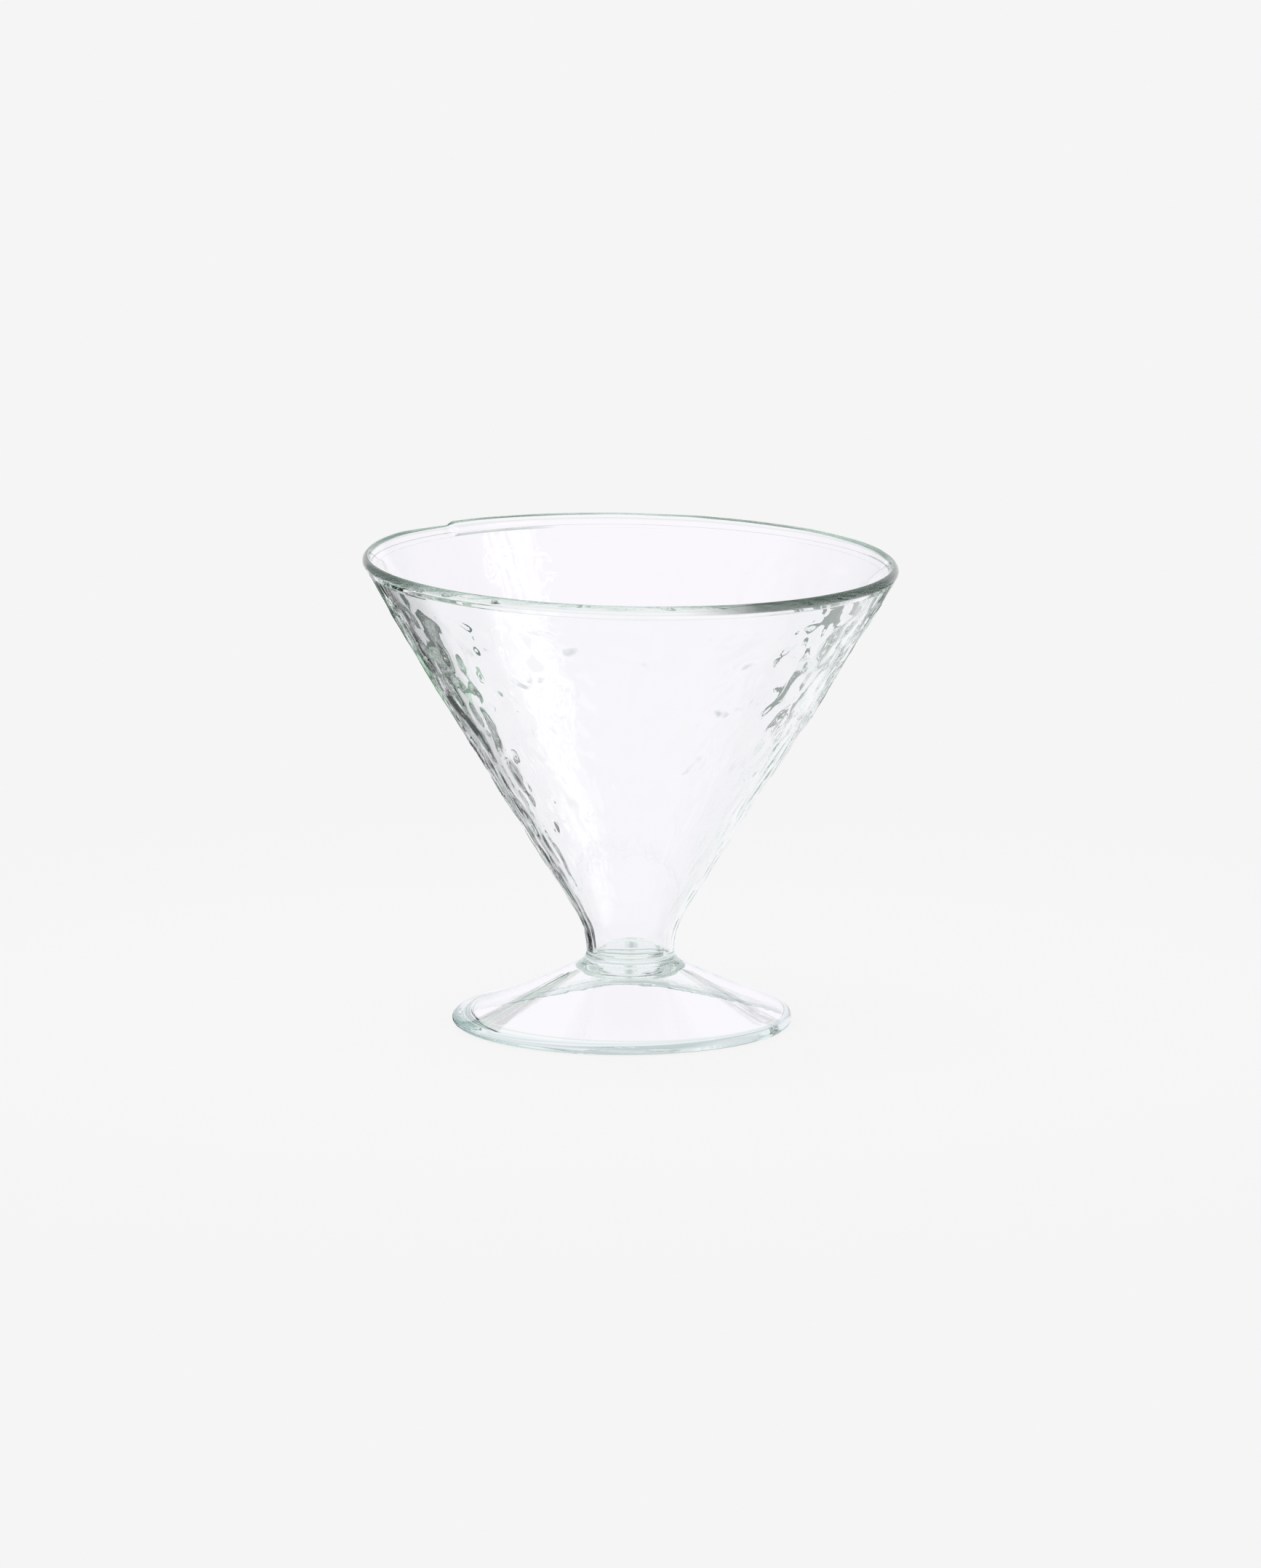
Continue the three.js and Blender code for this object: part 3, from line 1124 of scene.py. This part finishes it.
@dataclass
class PontilWafer:
    """The small disc of glass under the middle of the foot."""

    shape: GlassShape
    sides: int = 192
    joint_gap: float = 0.02
    uneven_size: float = 5.0
    uneven_depth: float = 0.12
    uneven_seed: float = 23.3
    dish_points: int = 15
    edge_steps: int = 16
    level_rings: int = 4
    ripple: float = 0.3

    def build(self) -> bpy.types.Object:
        """Makes the wafer's mesh.

        Returns:
            The new object.
        """
        shape, made = self.shape, RingMesh()
        angles = round_angles(self.sides)
        round_radius = shape.wafer_thickness / 2
        top = shape.ceiling_height - self.joint_gap
        centre = np.array([shape.wafer_radius - round_radius, top - round_radius])
        share = np.linspace(0.0, 1.0, self.dish_points)[1:]
        under = top - shape.wafer_thickness
        dish = np.column_stack([centre[0] * share, under + shape.wafer_dish * (1.0 - share**2)])
        edge = arc(centre, round_radius, -math.pi / 2, math.pi / 2, self.edge_steps)
        outline = joined(dish, edge)
        made.ring(np.array([[0.0, 0.0, under + shape.wafer_dish]]))
        for i, (radius, height) in enumerate(outline):
            ring = turn(radius, height, angles)
            if 0 < i < len(outline) - self.level_rings:
                depth = self.uneven_depth * (radius / shape.wafer_radius)
                ring[:, 2] += depth * grain(ring, self.uneven_size, self.uneven_seed)
            made.ring(ring, self.ripple)
        made.ring(np.array([[0.0, 0.0, outline[-1, 1]]]), place=Place.FUSED)
        return made.build("pontil_wafer_glass")


@dataclass
class CocktailGlass:
    """The whole glass: its pieces, their finishes and what they stand for in the frame."""

    shape: GlassShape = field(default_factory=GlassShape)

    def build(self) -> None:
        """Builds each piece, dresses it and ties it to the frame."""
        ripple, clouding = fine_ripple_group(), clouding_group()
        plan = (
            (Bowl(self.shape), "bowl", "bowl_glass", GlassFinish("bowl_glass", (0.974, 0.985, 0.979))),
            (
                LipWrap(self.shape),
                "lip_wrap",
                "lip_glass",
                # edge is the painted shade, a nearly black green, on the lip's left and right sides.
                GlassFinish(
                    "lip_glass", (0.993, 0.996, 0.995), deep=(0.995, 0.998, 0.997), edge=(0.055, 0.072, 0.062)
                ),
            ),
            (
                Foot(self.shape),
                "foot",
                "foot_glass",
                # edge is the painted shade, a darker teal, on the foot's rounded edge.
                GlassFinish(
                    "foot_glass", (0.965, 0.983, 0.98), deep=(0.985, 0.993, 0.99), edge=(0.80, 0.90, 0.90)
                ),
            ),
            (
                PontilWafer(self.shape),
                "pontil_wafer",
                "wafer_glass",
                GlassFinish("wafer_glass", (0.94, 0.97, 0.96)),
            ),
        )
        for maker, node, slot_name, finish in plan:
            piece = maker.build()
            piece.data.materials.append(finish.build(ripple, clouding))
            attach(piece, "root")
            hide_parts(node)
            LOG.info("%s: %d faces", piece.name, len(piece.data.polygons))


@dataclass(frozen=True)
class Mottle:
    """Two colours in irregular flecks, as leaves or cloth show them."""

    first: tuple[float, float, float]
    second: tuple[float, float, float]
    size: float = 1.0
    balance: float = 0.5
    edge: float = 0.06

    def add(self, make: Nodes, group: Tree, place: Output) -> Output:
        """Adds the mottle to a node tree.

        Args:
            make: The tree's builder.
            group: The mottle group.
            place: Where to read it.

        Returns:
            The colour output.
        """
        entries = {
            "Vector": place,
            "First": (*self.first, 1.0),
            "Second": (*self.second, 1.0),
            "Size": self.size,
            "Balance": self.balance,
            "Edge": self.edge,
        }
        return make.add("ShaderNodeGroup", entries, node_tree=group).outputs["Color"]


def plain(red: float, green: float, blue: float) -> Mottle:
    """One even colour."""
    return Mottle((red, green, blue), (red, green, blue))


def mottle_group() -> Tree:
    """Builds the shader group for flecks of two colours.

    Returns:
        A group with the inputs Vector, First, Second, Size, Balance and Edge, and the output Color.
    """
    entries = {"Vector": Socket.PLACE, "First": Socket.COLOUR, "Second": Socket.COLOUR}
    entries |= dict.fromkeys(("Size", "Balance", "Edge"), Socket.NUMBER)
    group, make, entry = shader_group("mottle", entries, {"Color": Socket.COLOUR})
    flecks = make.bumps(entry.outputs["Vector"], entry.outputs["Size"], Detail=2.0)
    over = make.maths("SUBTRACT", flecks, entry.outputs["Balance"])
    share = make.maths("ADD", make.maths("DIVIDE", over, entry.outputs["Edge"]), 0.5)
    share.node.use_clamp = True
    colour = make.mix(share, entry.outputs["First"], entry.outputs["Second"])
    make.add("NodeGroupOutput", {"Color": colour})
    return group


def patch_group() -> Tree:
    """Builds the shader group that lays a soft-edged patch over a colour.

    Returns:
        A group with the inputs Across, Up, Centre Across, Centre Up, Half Width, Half Height, Softness,
        Below and Above, and the output Color. Across wraps round at half a turn.
    """
    names = ("Across", "Up", "Centre Across", "Centre Up", "Half Width", "Half Height", "Softness")
    entries = dict.fromkeys(names, Socket.NUMBER) | dict.fromkeys(("Below", "Above"), Socket.COLOUR)
    group, make, entry = shader_group("patch", entries, {"Color": Socket.COLOUR})
    across = make.maths("SUBTRACT", entry.outputs["Across"], entry.outputs["Centre Across"])
    across = make.maths("ABSOLUTE", make.maths("WRAP", across, 180.0, -180.0))
    up = make.maths("ABSOLUTE", make.maths("SUBTRACT", entry.outputs["Up"], entry.outputs["Centre Up"]))
    share = 1.0
    for away, half in ((across, "Half Width"), (up, "Half Height")):
        inside = make.maths("SUBTRACT", entry.outputs[half], away)
        side = make.maths("ADD", make.maths("DIVIDE", inside, entry.outputs["Softness"]), 0.5)
        side.node.use_clamp = True
        share = make.maths("MULTIPLY", share, side)
    colour = make.mix(share, entry.outputs["Below"], entry.outputs["Above"])
    make.add("NodeGroupOutput", {"Color": colour})
    return group


@dataclass(frozen=True)
class Patch:
    """A soft-edged patch of colour: on the surround in degrees, on a card in metres."""

    across: float
    up: float
    half_width: float
    half_height: float
    colour: Mottle
    softness: float = 3.0

    def lay(self, make: Nodes, groups: "ColourGroups", place: "Coordinates", below: Output) -> Output:
        """Lays the patch over a colour.

        Args:
            make: The builder of the node tree.
            groups: The shader groups.
            place: The tree's coordinates.
            below: The colour so far.

        Returns:
            The new colour.
        """
        entries = {
            "Across": place.across,
            "Up": place.up,
            "Centre Across": self.across,
            "Centre Up": self.up,
            "Half Width": self.half_width,
            "Half Height": self.half_height,
            "Softness": self.softness,
            "Below": below,
            "Above": self.colour.add(make, groups.mottle, place.vector),
        }
        return make.add("ShaderNodeGroup", entries, node_tree=groups.patch).outputs["Color"]


@dataclass(frozen=True)
class ColourGroups:
    """The shader groups that the surroundings share."""

    mottle: Tree
    patch: Tree


@dataclass(frozen=True)
class Coordinates:
    """Where a point of the surroundings lies, for the patches and for the mottle."""

    across: Output
    up: Output
    vector: Output


@dataclass
class Surroundings:
    """A mesh that only shows in the glass, painted with patches.

    Places are in metres in the view's own axes: X to the right, Y up and Z towards the camera.
    """

    name: str
    base: Mottle
    patches: tuple[Patch, ...] = ()

    def faces(self) -> MeshData:
        """The mesh's points and faces."""
        raise NotImplementedError

    def coordinates(self, make: Nodes) -> Coordinates:
        """Adds the nodes that say where a point lies."""
        raise NotImplementedError

    def build(self, rig: bpy.types.Object, groups: ColourGroups) -> None:
        """Makes the mesh on the rig.

        Args:
            rig: The empty that turns with the view.
            groups: The shader groups.
        """
        points, faces = self.faces()
        mesh = bpy.data.meshes.new(self.name)
        mesh.from_pydata(points, [], faces)
        made = placed(self.name, mesh)
        made.parent = rig
        made.visible_camera = False
        made.visible_diffuse = False
        made.visible_shadow = False
        material, make = new_material(self.name)
        place = self.coordinates(make)
        colour = self.base.add(make, groups.mottle, place.vector)
        for patch in self.patches:
            colour = patch.lay(make, groups, place, colour)
        glow = make.add("ShaderNodeEmission", {"Color": colour}).outputs["Emission"]
        make.add("ShaderNodeOutputMaterial", {"Surface": glow})
        material.cycles.emission_sampling = "NONE"
        mesh.materials.append(material)


@dataclass
class Surround(Surroundings):
    """A wide box round everything, painted by direction: azimuth and elevation in degrees.

    Azimuth 0 is straight behind the glass and grows to the right.
    """

    half_size: float = 9.0

    def faces(self) -> MeshData:
        """The box's corners and sides."""
        side = (-self.half_size, self.half_size)
        points = [(x, y, z) for x in side for y in side for z in side]
        faces = [(0, 1, 3, 2), (4, 6, 7, 5), (0, 4, 5, 1), (2, 3, 7, 6), (0, 2, 6, 4), (1, 5, 7, 3)]
        return points, faces

    def coordinates(self, make: Nodes) -> Coordinates:
        """Adds the nodes for the direction from the glass."""
        place = make.object_place()
        unit = make.add("ShaderNodeVectorMath", {0: place}, operation="NORMALIZE").outputs["Vector"]
        split = make.add("ShaderNodeSeparateXYZ", {"Vector": unit})
        away = make.maths("MULTIPLY", split.outputs["Z"], -1.0)
        across = make.maths("DEGREES", make.maths("ARCTAN2", split.outputs["X"], away))
        up = make.maths("DEGREES", make.maths("ARCSINE", split.outputs["Y"]))
        return Coordinates(across, up, unit)


@dataclass
class Card(Surroundings):
    """A flat card behind the glass, square to the view, with corners given as X and Y."""

    corners: tuple[tuple[float, float], ...] = ()
    depth: float = -0.085

    def faces(self) -> MeshData:
        """The card's corners and its one side."""
        return [(x, y, self.depth) for x, y in self.corners], [tuple(range(len(self.corners)))]

    def coordinates(self, make: Nodes) -> Coordinates:
        """Adds the nodes for the place on the card: across is its X and up its Y."""
        place = make.object_place()
        split = make.add("ShaderNodeSeparateXYZ", {"Vector": place})
        return Coordinates(split.outputs["X"], split.outputs["Y"], place)


@dataclass
class Studio:
    """Camera, floor, background, lamp and surroundings."""

    aim_height: float = 52.2
    distance: float = 3500.0
    camera_height: float = 702.8
    distance_from: float = 50.0
    lens: float = 374.03
    sensor: float = 36.0
    clip: tuple[float, float] = (0.1, 20.0)
    white: float = 0.9131
    around: tuple[float, float, float] = (0.905, 0.9, 0.945)
    paper: float = 0.9
    floor_radius: float = 0.6
    floor_sides: int = 96
    floor_gap: float = 0.05
    shadow_reach: tuple[float, float] = (0.06, 0.26)
    shadow_share: float = 0.12
    lamp_size: float = 0.9
    lamp_power: float = 6.0
    lamp_place: tuple[float, float, float] = (-0.25, 0.1, 1.3)
    bounces: int = 200

    def camera(self) -> bpy.types.Object:
        """Makes the camera at the photograph's angle and returns it."""
        data = bpy.data.cameras.new("camera")
        data.lens = self.lens
        data.sensor_width = self.sensor
        data.clip_start, data.clip_end = self.clip
        camera = placed("camera", data)
        rise = self.camera_height - self.distance_from
        level = math.sqrt(self.distance**2 - rise**2)
        camera.location = (0.0, -level * MM, self.camera_height * MM)
        aim(camera, Vector((0.0, 0.0, self.aim_height * MM)))
        bpy.context.scene.camera = camera
        return camera

    def world(self) -> None:
        """White background, and a soft, faintly violet white round the glass."""
        world = bpy.data.worlds.new("studio")
        bpy.context.scene.world = world
        world.use_nodes = True
        make = Nodes(world.node_tree)
        path = make.add("ShaderNodeLightPath").outputs
        seen, around, lit = (
            make.add("ShaderNodeBackground", {"Color": colour}).outputs["Background"]
            for colour in (grey(self.white), (*self.around, 1.0), grey(self.paper))
        )
        through = make.maths("MAXIMUM", path["Is Glossy Ray"], path["Is Transmission Ray"])
        shown = make.choose(path["Is Camera Ray"], make.choose(through, lit, around), seen)
        make.add("ShaderNodeOutputWorld", {"Surface": shown})

    def floor(self) -> None:
        """A round pale floor that keeps the glass's shadow and fades into the background."""
        made = RingMesh()
        made.ring(np.array([[0.0, 0.0, -self.floor_gap]]))
        made.ring(turn(self.floor_radius / MM, -self.floor_gap, round_angles(self.floor_sides)))
        floor = made.build("floor")
        floor.data.flip_normals()
        material, make = new_material("floor_paper")
        paper = make.add("ShaderNodeBsdfDiffuse", {"Color": grey(self.paper)}).outputs["BSDF"]
        flat = make.add("ShaderNodeEmission", {"Color": grey(self.white)}).outputs["Emission"]
        away = make.add("ShaderNodeVectorMath", {0: make.object_place()}, operation="LENGTH")
        entries = {
            "Value": away.outputs["Value"],
            "From Min": self.shadow_reach[0],
            "From Max": self.shadow_reach[1],
            "To Min": self.shadow_share,
            "To Max": 0.0,
        }
        near = make.add("ShaderNodeMapRange", entries, interpolation_type="SMOOTHSTEP")
        surface = make.choose(near.outputs["Result"], flat, paper)
        make.add("ShaderNodeOutputMaterial", {"Surface": surface})
        material.cycles.emission_sampling = "NONE"
        floor.data.materials.append(material)
        floor.visible_glossy = False
        floor.visible_transmission = False

    def surroundings(self, camera: bpy.types.Object) -> None:
        """What shows in the glass: a painted surround and three cards, which turn with the camera.

        Args:
            camera: The camera that the rig follows.
        """
        rig = placed("card_rig", None)
        rig.location = (0.0, 0.0, 0.5 * (cad_low.z + cad_high.z))
        follow = rig.constraints.new("COPY_ROTATION")
        follow.target = camera
        groups = ColourGroups(mottle_group(), patch_group())
        for maker in (self.surround(), self.left_card(), self.dark_card(), self.right_card()):
            maker.build(rig, groups)

    @staticmethod
    def surround() -> Surround:
        """The wide surround: a pale backdrop and table, dark walls at the sides and a room in front."""
        room = plain(0.58, 0.59, 0.60)
        patches = (
            Patch(180.0, 35.0, 80.0, 22.0, plain(0.85, 0.85, 0.88), 14.0),
            Patch(0.0, -75.0, 200.0, 30.0, plain(0.92, 0.925, 0.93), 8.0),
            Patch(0.0, -30.0, 62.0, 30.0, plain(0.84, 0.87, 0.875), 8.0),
            Patch(0.0, 44.0, 60.0, 20.0, plain(0.92, 0.935, 0.94), 10.0),
            Patch(62.0, 13.0, 32.0, 17.0, plain(0.66, 0.69, 0.69), 6.0),
            Patch(-62.0, 13.0, 32.0, 17.0, plain(0.40, 0.44, 0.43), 6.0),
            Patch(-40.0, -17.0, 20.0, 13.0, plain(0.02, 0.035, 0.028), 6.0),
            Patch(45.0, -16.0, 26.0, 16.0, plain(0.95, 0.96, 0.965), 6.0),
            Patch(0.0, -29.0, 26.0, 14.0, plain(0.97, 0.965, 0.985), 5.0),
            Patch(4.0, 12.0, 32.0, 19.0, plain(0.985, 0.955, 1.0), 5.0),
            Patch(-48.0, 17.0, 22.0, 13.0, plain(0.62, 0.65, 0.65), 4.0),
            Patch(0.0, 20.0, 3.0, 13.0, plain(0.56, 0.61, 0.61), 4.0),
            Patch(-78.0, -61.0, 12.0, 11.0, plain(1.4, 1.4, 1.4), 2.0),
            Patch(118.0, 38.0, 13.0, 8.0, Mottle((2.4, 2.4, 2.4), (0.8, 0.8, 0.82), 0.06, 0.5, 0.1), 3.0),
        )
        return Surround("surround", room, patches)

    @staticmethod
    def left_card() -> Card:
        """Leaves close behind the glass at its left, at the height of the lip."""
        leaves = Mottle((0.002, 0.050, 0.022), (0.86, 0.93, 0.88), 0.009, 0.57, 0.03)
        mint = Mottle((0.06, 0.18, 0.10), (0.62, 0.84, 0.68), 0.006, 0.48, 0.08)
        shade = Mottle((0.003, 0.035, 0.016), (0.80, 0.90, 0.84), 0.004, 0.60, 0.05)
        patches = (
            Patch(-0.053, 0.016, 0.017, 0.006, mint, 0.003),
            Patch(-0.064, 0.029, 0.011, 0.006, shade, 0.002),
        )
        near_edge = ((-0.037, 0.003), (-0.040, 0.010), (-0.042, 0.018), (-0.050, 0.036))
        corners = ((-0.088, 0.036), (-0.088, 0.003), *near_edge)
        return Card("left_card", leaves, patches, corners)

    @staticmethod
    def dark_card() -> Card:
        """A black stand farther behind the glass at its left, below the leaves."""
        black = Mottle((0.010, 0.012, 0.011), (0.9, 0.92, 0.92), 0.03, 0.58, 0.04)
        near_edge = ((-0.125, -0.12), (-0.112, -0.06), (-0.104, -0.02), (-0.108, 0.006))
        corners = ((-0.5, 0.006), (-0.5, -0.12), *near_edge)
        return Card("dark_card", black, (), corners, depth=-0.4)

    @staticmethod
    def right_card() -> Card:
        """A slate cloth behind the glass at its right, only at the height of the lip."""
        slate = Mottle((0.17, 0.21, 0.19), (0.9, 0.92, 0.94), 0.008, 0.57, 0.05)
        corners = ((0.2, 0.038), (0.048, 0.038), (0.039, 0.010), (0.2, 0.010))
        return Card("right_card", slate, (), corners)

    def key_lamp(self) -> None:
        """A broad soft lamp over the glass, which gives the floor its faint shadow."""
        data = bpy.data.lights.new("overhead", "AREA")
        data.shape = "DISK"
        data.size = self.lamp_size
        data.energy = self.lamp_power
        lamp = placed("overhead", data)
        lamp.location = self.lamp_place
        aim(lamp, Vector())
        lamp.visible_glossy = False
        lamp.visible_transmission = False

    def build(self) -> None:
        """Sets up the whole studio and the view."""
        scene = bpy.context.scene
        scene.view_settings.view_transform = "Standard"
        for limit in ("max_bounces", "transmission_bounces", "glossy_bounces", "transparent_max_bounces"):
            setattr(scene.cycles, limit, self.bounces)
        camera = self.camera()
        self.world()
        self.floor()
        self.surroundings(camera)
        self.key_lamp()


def main() -> None:
    """Builds the studio and the glass."""
    logging.basicConfig(level=logging.INFO, format="%(name)s: %(message)s")
    Studio().build()
    CocktailGlass().build()


if __name__ == "__main__":
    main()
